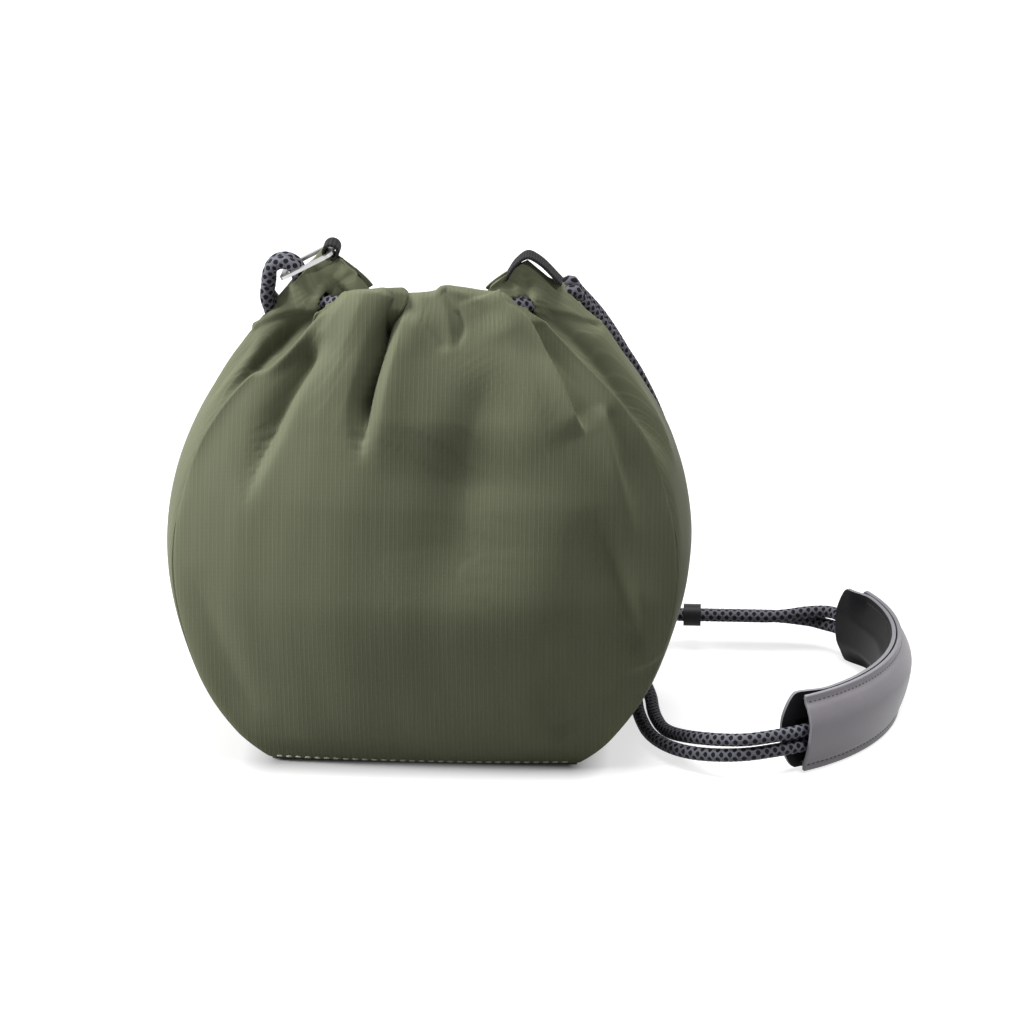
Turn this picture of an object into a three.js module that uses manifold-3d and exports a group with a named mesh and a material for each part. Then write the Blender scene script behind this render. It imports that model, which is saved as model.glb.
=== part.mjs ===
// Padded drawstring lens pouch with a rope carrying strap and a leather shoulder pad.
// Millimetres, +Z up. The pouch stands on z = 0, its front faces -Y and the strap lies on the +X side.
import * as THREE from "three";
import Module from "manifold-3d";

const wasm = await Module();
wasm.setup();

// Layers of the wall, from outside to inside
const CLOTH = 1.2;
const PADDING = 3.4;
const LINING = 0.8;
const LAYER_GAP = 0.4;
const WALL_GAP = 1;
const SEAM_GAP = 0.4;

// Body: the front seam of the right side, from the base corner to the end of the hem.
// Each station is [x, y, z, front bulge, front rise, side bulge, side rise].
const STATIONS = [
  [67.5, -46, 0, 2, 0, 1, 0],
  [81.5, -46, 13, 9, 0, 2, 0],
  [97, -43.5, 37, 16, 0, 3.5, 0],
  [108, -37.5, 80, 25.5, 0, 5, 0],
  [103.5, -30, 118, 24, 0, 5.5, 2],
  [86.5, -22, 150, 18, 2, 6, 6],
  [63, -15, 174, 10, 5, 6, 13],
  [44, -10, 190, 2, 8, 0, 0],
];
const BACK_HEM_DROP = 12;

// Main folds gathered into the front: [share of the half width and height at the top, the same at the bottom,
// depth, width to the left, width to the right]. A negative depth is a ridge.
const FOLDS = [
  [-0.25, 0.97, -0.3, 0.64, 6, 9, 5],
  [-0.45, 0.97, -0.45, 0.72, -3, 8, 8],
  [-0.11, 0.97, -0.18, 0.68, -3, 5, 9],
  [-0.79, 0.95, -0.72, 0.54, 4.5, 9, 8],
  [-0.61, 0.95, -0.57, 0.56, -2.5, 8, 9],
  [0.5, 0.92, 0.17, 0.54, 4.5, 9, 12],
  [0.58, 0.97, 0.56, 0.58, -3, 10, 9],
  [0.84, 0.95, 0.76, 0.66, 3, 4, 8],
];

// Ears, and the grid of the layers
const EAR_INNER = [23, -5.5, 197];
const EAR_LAP = 2.2;
const EAR_FULLNESS = 4.5;
const LEFT_EAR_TIP = [44, 217];
const RIGHT_EAR_TIP = [42, 212.5];
const ROWS = 16;
const INNER_ROWS = [2, 13];
const FRONT_COLUMNS = 32;
const BACK_COLUMNS = 12;
const SIDE_COLUMNS = 6;

// Base, stacked from the floor up
const BOARD = 2;
const BASE_PADDING = 3;

// Hems and rope
const ROPE_D = 5.8;
const ROPE_CLEARANCE = 0.45;
const HEM_WALL = 1.1;
const HEM_LIFT = 2.4;
const HEM_SHARE = 0.68;
const END_GAP = 1.2;
const STRAND_GAP = 0.9;

// Webbing, ring, keeper
const WEBBING = 1.3;
const WEBBING_WIDTH = 11;
const WEBBING_TAIL = 11;
const ARCH_HEIGHT = 2.9;
const RING_OFFSET = [3, -1];
const RING_TILT = 28;
const RING_LENGTH = 24;
const RING_WIDTH = 20;
const RING_RIM = 2.8;
const RING_PLATE = 1.4;
const RING_CORNER = 4;
const BIGHT_OFFSET = [-0.4, -0.9];
const BIGHT_RADIUS = 6.4;
const BAR_CLEARANCE = 0.3;
const KEEPER_LENGTH = 8;
const KEEPER_WALL = 1.6;
const KEEPER_START = 110;

// Shoulder pad, a leather sleeve round both strands, standing on its edge along an arc
const PAD_CENTRE = [114, 31];
const PAD_RADIUS = 90;
const PAD_FLOOR = 0.5;
const PAD_HEIGHT = 35;
const PAD_FROM = -58;
const PAD_TO = 34;
const PAD_TONGUE = 6;
const PAD_LIP = 4.5;
const PAD_END_LIP = 1.35;
const PAD_FLARE = 9;
const LEATHER = 2;
const PAD_ROPE_CLEARANCE = 0.9;
const PAD_ROPE_Z = 15;

const ropeR = ROPE_D / 2;
const cordCut = ropeR + ROPE_CLEARANCE;
const strandOffset = ropeR + STRAND_GAP / 2;
const paddingDepth = CLOTH + WALL_GAP;
const liningDepth = paddingDepth + PADDING + WALL_GAP;

// Ring: its bar in the webbing on the left ear, its far bar and the middle of the rope's bight round that
const tilt = THREE.MathUtils.degToRad(RING_TILT);
const ringBar = [RING_OFFSET[0] - LEFT_EAR_TIP[0], LEFT_EAR_TIP[1] + RING_OFFSET[1]];
const farBar = RING_LENGTH - RING_RIM / 2;
const bight = [
  ringBar[0] - farBar * Math.cos(tilt) + BIGHT_OFFSET[0],
  ringBar[1] - farBar * Math.sin(tilt) + BIGHT_OFFSET[1],
];

// Strap route: middle of the two strands and the direction from it to the front strand.
const arcPoint = (degrees, z) => {
  const a = THREE.MathUtils.degToRad(degrees);
  return [PAD_CENTRE[0] + PAD_RADIUS * Math.cos(a), PAD_CENTRE[1] + PAD_RADIUS * Math.sin(a), z];
};
const STRAP_FROM_RIGHT_EAR = [
  [[63, 11, 195], [0, -1, 0]],
  [[72, 19, 182], [0, -1, 0]],
  [[86, 30, 157], [0.3, -1, 0]],
  [[97, 39, 130], [0.4, -1, 0]],
  [[103, 47, 106], [0.4, -1, 0]],
  [[105.5, 54, 84], [0.4, -1, 0]],
  [[104, 61, 64], [0.2, -1, -0.3]],
  [[101.5, 71, 47], [0, -1, -0.5]],
  [[96.5, 81, 34], [0.1, -1, -0.5]],
  [[95.5, 90, 23], [0.5, -0.9, -0.2]],
  [[100, 96, 16.2], [0.3, -0.95, 0.2]],
  [[108, 97.5, 14.4], [0, -0.95, 0.31]],
  [[118, 97.5, 14.4], [0, -0.95, 0.31]],
  [[128, 97.5, 14.4], [0, -0.95, 0.31]],
  [[138, 97.5, 14.4], [0, -0.95, 0.31]],
  [[148, 97.5, 14.4], [0, -0.95, 0.31]],
  [[158, 97.8, 14.5], [-0.1, -0.85, 0.5]],
  [[168.5, 97.4, 14.8], [-0.2, -0.5, 0.8]],
];
const STRAP_ON_PAD = [44, 40, 30, 20, 10, 0, -10, -20, -30, -40, -50, -58, -66].map((a) => [
  arcPoint(a, PAD_ROPE_Z),
  [0, 0, 1],
]);
const STRAP_TO_RING = [
  [[138, -54.8, 14.4], [0, 0, 1]],
  [[124, -50, 12], [0.1, 0.2, 0.95]],
  [[111, -39, 8.8], [0.5, 0.4, 0.75]],
  [[100.5, -19, 4.8], [0.95, 0.3, 0.3]],
  [[95, 4, 3.5], [1, 0.1, 0]],
  [[92, 30, 3.5], [1, 0.1, 0]],
  [[84, 56, 3.5], [0.9, 0.5, 0]],
  [[62, 76, 3.5], [0.5, 0.9, 0]],
  [[30, 84, 3.5], [0, 1, 0]],
  [[0, 85, 3.5], [0, 1, 0]],
  [[-30, 83, 3.8], [0, 1, 0]],
  [[-54, 77, 8], [-0.2, 1, 0.2]],
  [[-70, 68, 24], [-0.4, 0.9, 0.3]],
  [[-78, 62, 52], [-0.8, 0.6, 0]],
  [[-81, 58, 86], [-1, 0.2, 0]],
  [[-82, 48, 122], [-1, 0, 0]],
  [[-77, 34, 156], [-0.9, -0.4, 0]],
  [[-67, 18, 180], [-0.5, -0.9, 0]],
  [[bight[0] - BIGHT_RADIUS, 7, bight[1] - 15.8], [-0.1, -1, 0]],
  [[bight[0] - BIGHT_RADIUS - 1, 0.9, bight[1] - 8.8], [0, -1, 0]],
  [[bight[0] - BIGHT_RADIUS - 0.2, 0, bight[1] - 2.8], [0, -1, 0]],
];
const STRAP = [...STRAP_FROM_RIGHT_EAR, ...STRAP_ON_PAD, ...STRAP_TO_RING];

const vec = (p) => new THREE.Vector3(...p);
const mix = (a, b, t) => a + (b - a) * t;
const ease = (t) => {
  const c = Math.min(1, Math.max(0, t));
  return c * c * (3 - 2 * c);
};

// Smooth value k of the stations at v = 0 (base) to 1 (hem).
const seamCurve = new THREE.CatmullRomCurve3(STATIONS.map((s) => vec(s.slice(0, 3))));
const frontCurve = new THREE.CatmullRomCurve3(STATIONS.map((s) => new THREE.Vector3(s[3], s[4], 0)));
const sideCurve = new THREE.CatmullRomCurve3(STATIONS.map((s) => new THREE.Vector3(s[5], s[6], 0)));

// A block whose vertices are placed by place(u, v, w), each from 0 to 1.
function formed(columns, rows, place) {
  const g = new THREE.BoxGeometry(1, 1, 1, columns, rows, 1);
  const p = g.attributes.position;
  for (let i = 0; i < p.count; i++) {
    const at = place(p.getX(i) + 0.5, p.getY(i) + 0.5, p.getZ(i) + 0.5);
    p.setXYZ(i, at[0], at[1], at[2]);
  }
  // The inner face is split along the same diagonals as the outer one, so that layers nest.
  const { start, count } = g.groups[5];
  for (let i = start; i < start + count; i += 6) {
    const [a, b, d, , c] = g.index.array.slice(i, i + 6);
    g.index.array.set([a, b, c, a, c, d], i);
  }
  return g;
}

// Depth of the folds of the front at x and v.
function foldDepth(x, v) {
  const half = seamCurve.getPoint(v).x;
  let depth = 0;
  for (const [s1, v1, s2, v2, deep, left, right] of FOLDS) {
    const t = (v1 - v) / (v1 - v2);
    const off = x - mix(s1, s2, t) * half;
    depth += deep * Math.exp(-((off / (off < 0 ? left : right)) ** 2)) * ease(4 * t) * ease(2.2 * (1 - t));
  }
  return depth;
}

// Front (side -1) or back (side 1) surface at depth d below the outside, s from -1 to 1.
function wallPoint(side, s, v, d) {
  const seam = seamCurve.getPoint(v);
  const bulge = frontCurve.getPoint(v);
  const round = 1 - Math.abs(s) ** 2.3;
  const drop = side > 0 ? BACK_HEM_DROP * ease((v - 0.66) / 0.34) * round : 0;
  const x = s * (seam.x - d * s ** 6);
  const sunk = side < 0 ? foldDepth(x, v) : 0;
  return [x, side * (-seam.y - d + bulge.x * round - sunk), seam.z + bulge.y * round - drop];
}

// Side surface at depth d: t from -1 (front seam) to 1 (back seam), right side for way 1.
function sidePoint(way, t, v, d, tip) {
  const seam = seamCurve.getPoint(v);
  const bulge = sideCurve.getPoint(v);
  const lap = ease((v - 0.6) / 0.25);
  const top = ease((v - 0.83) / 0.17);
  const x = mix(seam.x - d, EAR_INNER[0], top);
  const y = mix(-seam.y - d - EAR_LAP * lap, -EAR_INNER[1] - d * 0.6, top);
  const z = mix(seam.z, EAR_INNER[2], top);
  const fullness = EAR_FULLNESS * 4 * top * (1 - top);
  const out = mix(bulge.x, tip[0] - EAR_INNER[0] - d * 0.3, top) + fullness;
  const up = mix(bulge.y, tip[1] - EAR_INNER[2] - d, top) - d * 0.8 * ease((v - 0.57) / 0.26) * (1 - top);
  const round = 1 - Math.abs(t) ** mix(2.2, 1.25, ease((v - 0.57) / 0.35));
  return [way * (x + out * round), y * t, z + up * round ** mix(1, 0.75, top)];
}

// One layer of a wall between depths, over a range of rows, pulled back by the seam gap at its sides.
function wallLayer(side, from, to, rows) {
  return formed(side < 0 ? FRONT_COLUMNS : BACK_COLUMNS, rows[1] - rows[0], (u, v, w) => {
    const height = (rows[0] + v * (rows[1] - rows[0])) / ROWS;
    const reach = 1 - SEAM_GAP / seamCurve.getPoint(height).x;
    return wallPoint(side, (side < 0 ? 1 : -1) * reach * (2 * u - 1), height, mix(to, from, w));
  });
}
function sideLayer(way, from, to, rows, tip) {
  return formed(SIDE_COLUMNS, rows[1] - rows[0], (u, v, w) => {
    const height = (rows[0] + v * (rows[1] - rows[0])) / ROWS;
    const reach = 1 - SEAM_GAP / -seamCurve.getPoint(height).y;
    return sidePoint(way, way * reach * (2 * u - 1), height, mix(to, from, w), tip);
  });
}

// Boolean helpers
function solid(geometry) {
  const g = geometry.index ? geometry.toNonIndexed() : geometry;
  const position = g.attributes.position.array;
  const seen = new Map();
  const points = [];
  const index = [];
  for (let i = 0; i < position.length; i += 3) {
    const key = [0, 1, 2].map((k) => Math.round(position[i + k] * 2000)).join();
    if (!seen.has(key)) {
      seen.set(key, points.length / 3);
      points.push(position[i], position[i + 1], position[i + 2]);
    }
    index.push(seen.get(key));
  }
  const triangles = [];
  for (let i = 0; i < index.length; i += 3) {
    const [a, b, c] = index.slice(i, i + 3);
    if (a !== b && b !== c && c !== a) triangles.push(a, b, c);
  }
  const mesh = new wasm.Mesh({
    numProp: 3,
    vertProperties: new Float32Array(points),
    triVerts: new Uint32Array(triangles),
  });
  return new wasm.Manifold(mesh);
}
function geometryOf(manifold) {
  const mesh = manifold.getMesh();
  const g = new THREE.BufferGeometry();
  g.setAttribute("position", new THREE.BufferAttribute(new Float32Array(mesh.vertProperties), 3));
  g.setIndex(new THREE.BufferAttribute(new Uint32Array(mesh.triVerts), 1));
  const flat = g.toNonIndexed();
  flat.computeVertexNormals();
  return flat;
}

// A round tube along a curve
function tube(curve, radius, steps, sides) {
  const section = new THREE.Shape();
  section.absarc(0, 0, radius, 0, 2 * Math.PI, false);
  return new THREE.ExtrudeGeometry(section, {
    steps,
    curveSegments: sides / 2,
    bevelEnabled: false,
    extrudePath: curve,
  });
}

const curveOf = (points) => new THREE.CatmullRomCurve3(points, false, "centripetal");

// The two strands of the strap, from the right ear to the ring
function strand(sign) {
  const middle = new THREE.CatmullRomCurve3(STRAP.map((p) => vec(p[0])), false, "centripetal");
  const across = new THREE.CatmullRomCurve3(STRAP.map((p) => vec(p[1])));
  const count = 3 * (STRAP.length - 1);
  const points = [];
  for (let i = 0; i <= count; i++) {
    const at = middle.getPoint(i / count);
    const along = middle.getTangent(i / count);
    const aside = across.getPoint(i / count);
    aside.addScaledVector(along, -aside.dot(along)).normalize();
    points.push(at.addScaledVector(aside, sign * strandOffset));
  }
  return points;
}
const frontStrand = strand(1);
const backStrand = strand(-1);

// Hem line: the top edge of the front or back panel, where the drawcord runs
function hemLine(side, share) {
  const points = [];
  for (let i = 0; i <= 8; i++) {
    const p = wallPoint(side, mix(-share, share, i / 8), 1, CLOTH / 2);
    points.push(new THREE.Vector3(p[0], p[1], p[2] + HEM_LIFT));
  }
  return points;
}

// Drawcord of one hem: from the strap at the left, over the ring, through the ear and the hem to the right
function drawcordLine(side) {
  const hem = hemLine(side, HEM_SHARE);
  const end = hem[hem.length - 1];
  const strap = side < 0 ? frontStrand : backStrand;
  const beside = Math.abs(end.y) - 1.3;
  const earZ = EAR_INNER[2] - 3.5;
  const leftEnd = strap[strap.length - 1];
  const leftWay = curveOf(strap).getTangent(1);
  const rightWay = curveOf(strap).getTangent(0).negate();
  const round = [175, 148, 120, 90, 60, 30, 0].map((degrees) => {
    const a = THREE.MathUtils.degToRad(degrees);
    const x = bight[0] + BIGHT_RADIUS * Math.cos(a);
    return new THREE.Vector3(x, side * strandOffset, bight[1] + BIGHT_RADIUS * Math.sin(a));
  });
  const inEar = round[round.length - 1];
  return [
    leftEnd.clone().addScaledVector(leftWay, END_GAP),
    ...round,
    new THREE.Vector3(inEar.x + 1.2, inEar.y, inEar.z - 4),
    new THREE.Vector3(inEar.x + 5.5, inEar.y + side * 0.6, earZ + 1),
    new THREE.Vector3(-end.x - 12, side * 6, mix(end.z, earZ, 0.75)),
    new THREE.Vector3(-end.x - 6, side * beside, mix(end.z, earZ, 0.4)),
    ...hem,
    new THREE.Vector3(end.x + 6, side * beside, mix(end.z, earZ, 0.4)),
    new THREE.Vector3(end.x + 12, side * 6, mix(end.z, earZ, 0.75)),
    new THREE.Vector3(52, side < 0 ? 0 : 11.5, earZ - (side < 0 ? 0 : 2)),
    strap[0].clone().addScaledVector(rightWay, 5),
    strap[0].clone().addScaledVector(rightWay, END_GAP),
  ];
}
const frontCord = curveOf(drawcordLine(-1));
const backCord = curveOf(drawcordLine(1));
const frontRope = curveOf(frontStrand);
const backRope = curveOf(backStrand);
const cuts = [frontCord, backCord].map((c) => solid(tube(c, cordCut, 60, 8)));
const ropeCuts = [frontStrand, backStrand].map((points) => [
  solid(tube(curveOf(points.slice(0, 8)), cordCut, 6, 8)),
  solid(tube(curveOf(points.slice(-12)), cordCut, 10, 8)),
]).flat();

// A panel with its hem: the top edge rolled over the drawcord
function hemmedPanel(side) {
  const panel = solid(wallLayer(side, 0, CLOTH, [0, ROWS]));
  const line = curveOf(hemLine(side, HEM_SHARE));
  const casing = solid(tube(line, cordCut + HEM_WALL, 8, 10));
  return wasm.Manifold.union(panel, casing).subtract(cuts[side < 0 ? 0 : 1]);
}

// Webbing loop round the bar of the ring, with its tail in the left ear
function ringLoop(grow) {
  const hole = Math.hypot(RING_RIM / 2, RING_PLATE / 2) + BAR_CLEARANCE;
  const outer = hole + WEBBING;
  const shape = new THREE.Shape();
  const half = WEBBING + grow;
  const a = Math.asin(half / (outer + grow));
  const foot = -outer - WEBBING_TAIL - grow;
  shape.moveTo(-half, foot);
  shape.lineTo(half, foot);
  shape.absarc(0, 0, outer + grow, -Math.PI / 2 + a, 1.5 * Math.PI - a, false);
  shape.closePath();
  if (grow === 0) {
    const inside = new THREE.Path();
    inside.absarc(0, 0, hole, 0, 2 * Math.PI, true);
    shape.holes.push(inside);
  }
  const width = WEBBING_WIDTH + 2 * grow;
  const g = new THREE.ExtrudeGeometry(shape, { depth: width, bevelEnabled: false, curveSegments: 16 });
  g.translate(0, 0, -width / 2);
  g.rotateX(Math.PI / 2);
  g.rotateY(0.3);
  g.translate(ringBar[0], 0, ringBar[1]);
  return g;
}

// Webbing arch over the tip of the right ear
function earArch(grow) {
  const line = new THREE.CatmullRomCurve3([
    new THREE.Vector3(-9.5, 0, -7.5),
    new THREE.Vector3(-5.2, 0, -0.8),
    new THREE.Vector3(0, 0, ARCH_HEIGHT),
    new THREE.Vector3(5.5, 0, 0.5),
    new THREE.Vector3(15, 0, -9),
  ].map((p) => p.add(new THREE.Vector3(RIGHT_EAR_TIP[0], 0, RIGHT_EAR_TIP[1]))));
  return formed(14, 1, (u, v, w) => {
    const at = line.getPointAt(u);
    const along = line.getTangentAt(u);
    at.addScaledVector(along, mix(-2, 2, u) * grow);
    const off = mix(-grow, WEBBING + grow, v);
    const y = mix(1, -1, w) * (WEBBING_WIDTH / 2 + grow);
    return [at.x - along.z * off, y, at.z + along.x * off];
  });
}

// Flat ring on the left ear, its far bar under the bight of the rope
function ringPlate() {
  const outline = (length, width, corner, from, Kind) => {
    const s = new Kind();
    s.moveTo(from + corner, -width / 2);
    s.lineTo(from + length - corner, -width / 2);
    s.absarc(from + length - corner, -width / 2 + corner, corner, -Math.PI / 2, 0, false);
    s.lineTo(from + length, width / 2 - corner);
    s.absarc(from + length - corner, width / 2 - corner, corner, 0, Math.PI / 2, false);
    s.lineTo(from + corner, width / 2);
    s.absarc(from + corner, width / 2 - corner, corner, Math.PI / 2, Math.PI, false);
    s.lineTo(from, -width / 2 + corner);
    s.absarc(from + corner, -width / 2 + corner, corner, Math.PI, 1.5 * Math.PI, false);
    return s;
  };
  const start = -RING_RIM / 2;
  const shape = outline(RING_LENGTH + RING_RIM / 2, RING_WIDTH, RING_CORNER, start, THREE.Shape);
  const opening = RING_CORNER - RING_RIM;
  const inside = RING_LENGTH - 1.5 * RING_RIM;
  shape.holes.push(outline(inside, RING_WIDTH - 2 * RING_RIM, opening, start + RING_RIM, THREE.Path));
  const g = new THREE.ExtrudeGeometry(shape, { depth: RING_PLATE, bevelEnabled: false, curveSegments: 5 });
  g.translate(0, 0, -RING_PLATE / 2);
  return g;
}

// Keeper: a block with a bore for each strand, along +X
function keeperBlock() {
  const bore = ropeR + ROPE_CLEARANCE;
  const high = bore + KEEPER_WALL;
  const shape = new THREE.Shape();
  shape.absarc(0, strandOffset, high, 0, Math.PI, false);
  shape.absarc(0, -strandOffset, high, Math.PI, 2 * Math.PI, false);
  const hole = new THREE.Path();
  const neck = Math.acos(Math.min(1, strandOffset / bore));
  hole.absarc(0, strandOffset, bore, 1.5 * Math.PI - neck, neck - Math.PI / 2, true);
  hole.absarc(0, -strandOffset, bore, Math.PI / 2 - neck, neck - 1.5 * Math.PI, true);
  shape.holes.push(hole);
  const g = new THREE.ExtrudeGeometry(shape, { depth: KEEPER_LENGTH, bevelEnabled: false, curveSegments: 9 });
  g.rotateY(Math.PI / 2);
  return g;
}

// Leather of the pad: w from 0 to 1 over its thickness, v up its height, u along the arc
function padLayer(inner) {
  const ropeSide = ropeR + PAD_ROPE_CLEARANCE;
  const face = PAD_RADIUS - ropeSide;
  return formed(inner ? 22 : 20, 8, (u, v, w) => {
    const z = PAD_FLOOR + PAD_HEIGHT * v;
    const round = Math.sqrt(1 - (2 * v - 1) ** 2 * 0.98);
    const more = inner ? PAD_TONGUE * round : 0;
    const degrees = mix(PAD_FROM - more, PAD_TO + more, u);
    const a = THREE.MathUtils.degToRad(degrees);
    const full = Math.min(1, 1.35 * Math.sin(Math.PI * v) ** 0.8);
    const within = Math.min(degrees - PAD_FROM, PAD_TO - degrees) / PAD_FLARE;
    const lip = mix(PAD_END_LIP, PAD_LIP, THREE.MathUtils.smoothstep(within, 0, 1));
    const start = inner ? lip * (1 - full) - LEATHER : LAYER_GAP + mix(PAD_LIP, 2 * ropeSide, full);
    const r = face + start + LEATHER * w;
    return [PAD_CENTRE[0] + r * Math.cos(a), PAD_CENTRE[1] + r * Math.sin(a), z];
  });
}

// Base layers: the plan of the base inside the cloth, from one height to another
function baseLayer(inset, from, to) {
  const [x, y, , bulge, , side] = STATIONS[0];
  const hx = x - inset;
  const hy = -y - inset;
  const plan = new THREE.Shape();
  plan.moveTo(-hx, -hy);
  plan.quadraticCurveTo(0, -hy - bulge, hx, -hy);
  plan.quadraticCurveTo(hx + side, 0, hx, hy);
  plan.quadraticCurveTo(0, hy + bulge, -hx, hy);
  plan.quadraticCurveTo(-hx - side, 0, -hx, -hy);
  const g = new THREE.ExtrudeGeometry(plan, { depth: to - from, bevelEnabled: false, curveSegments: 6 });
  g.translate(0, 0, from);
  return g;
}

const pouch = new THREE.Group();
pouch.name = "lens_pouch";
function add(name, geometry, colour, roughness, metalness = 0) {
  const material = new THREE.MeshStandardMaterial({ color: colour, roughness, metalness });
  const mesh = new THREE.Mesh(geometry, material);
  mesh.name = name;
  pouch.add(mesh);
  return mesh;
}

// Base
const baseInset = CLOTH + LAYER_GAP;
const boardZ = CLOTH + LAYER_GAP;
const basePaddingZ = boardZ + BOARD + LAYER_GAP;
const baseLiningZ = basePaddingZ + BASE_PADDING + LAYER_GAP;
add("base_panel", baseLayer(baseInset, 0, CLOTH), 0x5a5d47, 0.8);
add("base_board", baseLayer(baseInset, boardZ, boardZ + BOARD), 0x2c2c2c, 0.6);
add("base_padding", baseLayer(baseInset, basePaddingZ, basePaddingZ + BASE_PADDING), 0x3a3a3a, 0.95);
add("base_lining", baseLayer(baseInset, baseLiningZ, baseLiningZ + LINING), 0x3c3d3f, 0.85);

// Walls, each of cloth, padding and lining
for (const [name, side] of [["front", -1], ["back", 1]]) {
  add(name + "_panel", geometryOf(hemmedPanel(side)), 0x686c54, 0.75);
  const padding = wallLayer(side, paddingDepth, paddingDepth + PADDING, INNER_ROWS);
  add(name + "_padding", padding, 0x3a3a3a, 0.95);
  const lining = wallLayer(side, liningDepth, liningDepth + LINING, INNER_ROWS);
  add(name + "_lining", lining, 0x3c3d3f, 0.85);
}
for (const [name, way, tip] of [["left", -1, LEFT_EAR_TIP], ["right", 1, RIGHT_EAR_TIP]]) {
  let gusset = solid(sideLayer(way, 0, CLOTH, [0, ROWS], tip));
  const webbing = solid(way < 0 ? ringLoop(LAYER_GAP) : earArch(LAYER_GAP));
  for (const cut of [...cuts, ...ropeCuts, webbing]) gusset = gusset.subtract(cut);
  add(name + "_gusset", geometryOf(gusset), 0x686c54, 0.75);
  const padding = sideLayer(way, paddingDepth, paddingDepth + PADDING, INNER_ROWS, tip);
  add(name + "_padding", padding, 0x3a3a3a, 0.95);
  const lining = sideLayer(way, liningDepth, liningDepth + LINING, INNER_ROWS, tip);
  add(name + "_lining", lining, 0x3c3d3f, 0.85);
}

// Ropes: the drawcord in each hem and the two strands of the strap
add("front_drawcord", tube(frontCord, ropeR, 56, 8), 0x4b4b55, 0.7);
add("back_drawcord", tube(backCord, ropeR, 56, 8), 0x4b4b55, 0.7);
add("strap_rope_front", tube(frontRope, ropeR, 96, 8), 0x4b4b55, 0.7);
add("strap_rope_back", tube(backRope, ropeR, 96, 8), 0x4b4b55, 0.7);

// Webbing and ring on the ears
add("left_webbing_loop", ringLoop(0), 0x141414, 0.8);
add("right_webbing_loop", earArch(0), 0x141414, 0.8);
const ring = add("strap_ring", ringPlate(), 0x9a9a9a, 0.3, 1);
ring.rotation.set(0, Math.PI - tilt, 0);
ring.position.set(ringBar[0], 0, ringBar[1]);

// Keeper and pad on the strap
const keeperPoint = STRAP_FROM_RIGHT_EAR[12];
const keeper = add("strap_keeper", keeperBlock(), 0x101010, 0.6);
keeper.position.set(KEEPER_START, keeperPoint[0][1], keeperPoint[0][2]);
keeper.rotation.x = Math.atan2(keeperPoint[1][2], keeperPoint[1][1]) - Math.PI;
add("pad_inner", padLayer(true), 0x2b292c, 0.55);
add("pad_outer", padLayer(false), 0x6b686f, 0.45);

export default pouch;
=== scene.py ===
# Padded drawstring lens pouch of olive ripstop cloth, standing on its flat base, with a doubled rope strap
# that carries a leather shoulder pad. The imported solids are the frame; lengths below are in millimetres
# and go to metres where a mesh is placed.
import math
import bpy
import numpy as np
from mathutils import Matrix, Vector


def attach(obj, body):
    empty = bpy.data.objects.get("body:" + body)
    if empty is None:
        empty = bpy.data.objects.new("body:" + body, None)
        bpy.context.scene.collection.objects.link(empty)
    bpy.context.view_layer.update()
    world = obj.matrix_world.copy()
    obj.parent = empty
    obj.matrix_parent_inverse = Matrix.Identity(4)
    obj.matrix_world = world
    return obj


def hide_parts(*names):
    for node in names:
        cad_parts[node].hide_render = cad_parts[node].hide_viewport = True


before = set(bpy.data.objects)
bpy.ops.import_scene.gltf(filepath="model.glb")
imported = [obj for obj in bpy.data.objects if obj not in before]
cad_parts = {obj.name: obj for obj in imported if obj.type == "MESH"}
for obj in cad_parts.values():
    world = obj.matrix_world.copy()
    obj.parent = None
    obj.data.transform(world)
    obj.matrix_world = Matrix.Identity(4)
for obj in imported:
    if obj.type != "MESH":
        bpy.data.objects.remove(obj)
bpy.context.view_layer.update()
bpy.ops.object.select_all(action="DESELECT")

# Cutting pattern of the shell
# The four walls are sewn along one seam that rises from a base corner to the end of the hem. Front and back
# swell out between the seams, and the sides end in two ears.
stations = np.array([  # seam x, y, z; swell of front and back, out and up; swell of the sides, out and up
    [67.5, -46, 0, 2, 0, 1, 0],
    [81.5, -46, 13, 9, 0, 2, 0],
    [97, -43.5, 37, 16, 0, 3.5, 0],
    [108, -37.5, 80, 25.5, 0, 5, 0],
    [103.5, -30, 118, 24, 0, 5.5, 2],
    [86.5, -22, 150, 18, 2, 6, 6],
    [63, -15, 174, 10, 5, 6, 13],
    [44, -10, 190, 2, 8, 0, 0],
], float)
seam_line, panel_swell, side_swell = stations[:, :3], stations[:, 3:5], stations[:, 5:7]
back_hem_drop = 12
ear_inner = (23, 5.5, 197)
left_tip = (44, 217)
right_tip = (42, 212.5)


def smooth_line(points, t):
    """The point at share t, from 0 to 1, of a smooth curve through the given points."""
    points = np.asarray(points, float)
    place = np.clip(np.asarray(t, float), 0, 1) * (len(points) - 1)
    i = np.minimum(place.astype(int), len(points) - 2)
    w = (place - i)[..., None]
    more = np.vstack([2 * points[0] - points[1], points, 2 * points[-1] - points[-2]])
    a, b, c, d = more[i], more[i + 1], more[i + 2], more[i + 3]
    ab, bc, cd = [np.maximum(np.linalg.norm(q - p, axis=-1), 1e-8)[..., None] ** 0.5
                  for p, q in ((a, b), (b, c), (c, d))]
    leave = ((b - a) / ab - (c - a) / (ab + bc) + (c - b) / bc) * bc
    arrive = ((c - b) / bc - (d - b) / (bc + cd) + (d - c) / cd) * bc
    return b + w * leave + w**2 * (3 * (c - b) - 2 * leave - arrive) + w**3 * (2 * (b - c) + leave + arrive)


def ease(t):
    """From 0 to 1 with a soft start and end."""
    t = np.clip(t, 0, 1)
    return t * t * (3 - 2 * t)


def mix(a, b, t):
    return a + (b - a) * t


def foot(z):
    """The lower edge is drawn up a little, which leaves a dark line under it."""
    return 1.4 * np.exp(-z / 3)


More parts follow.
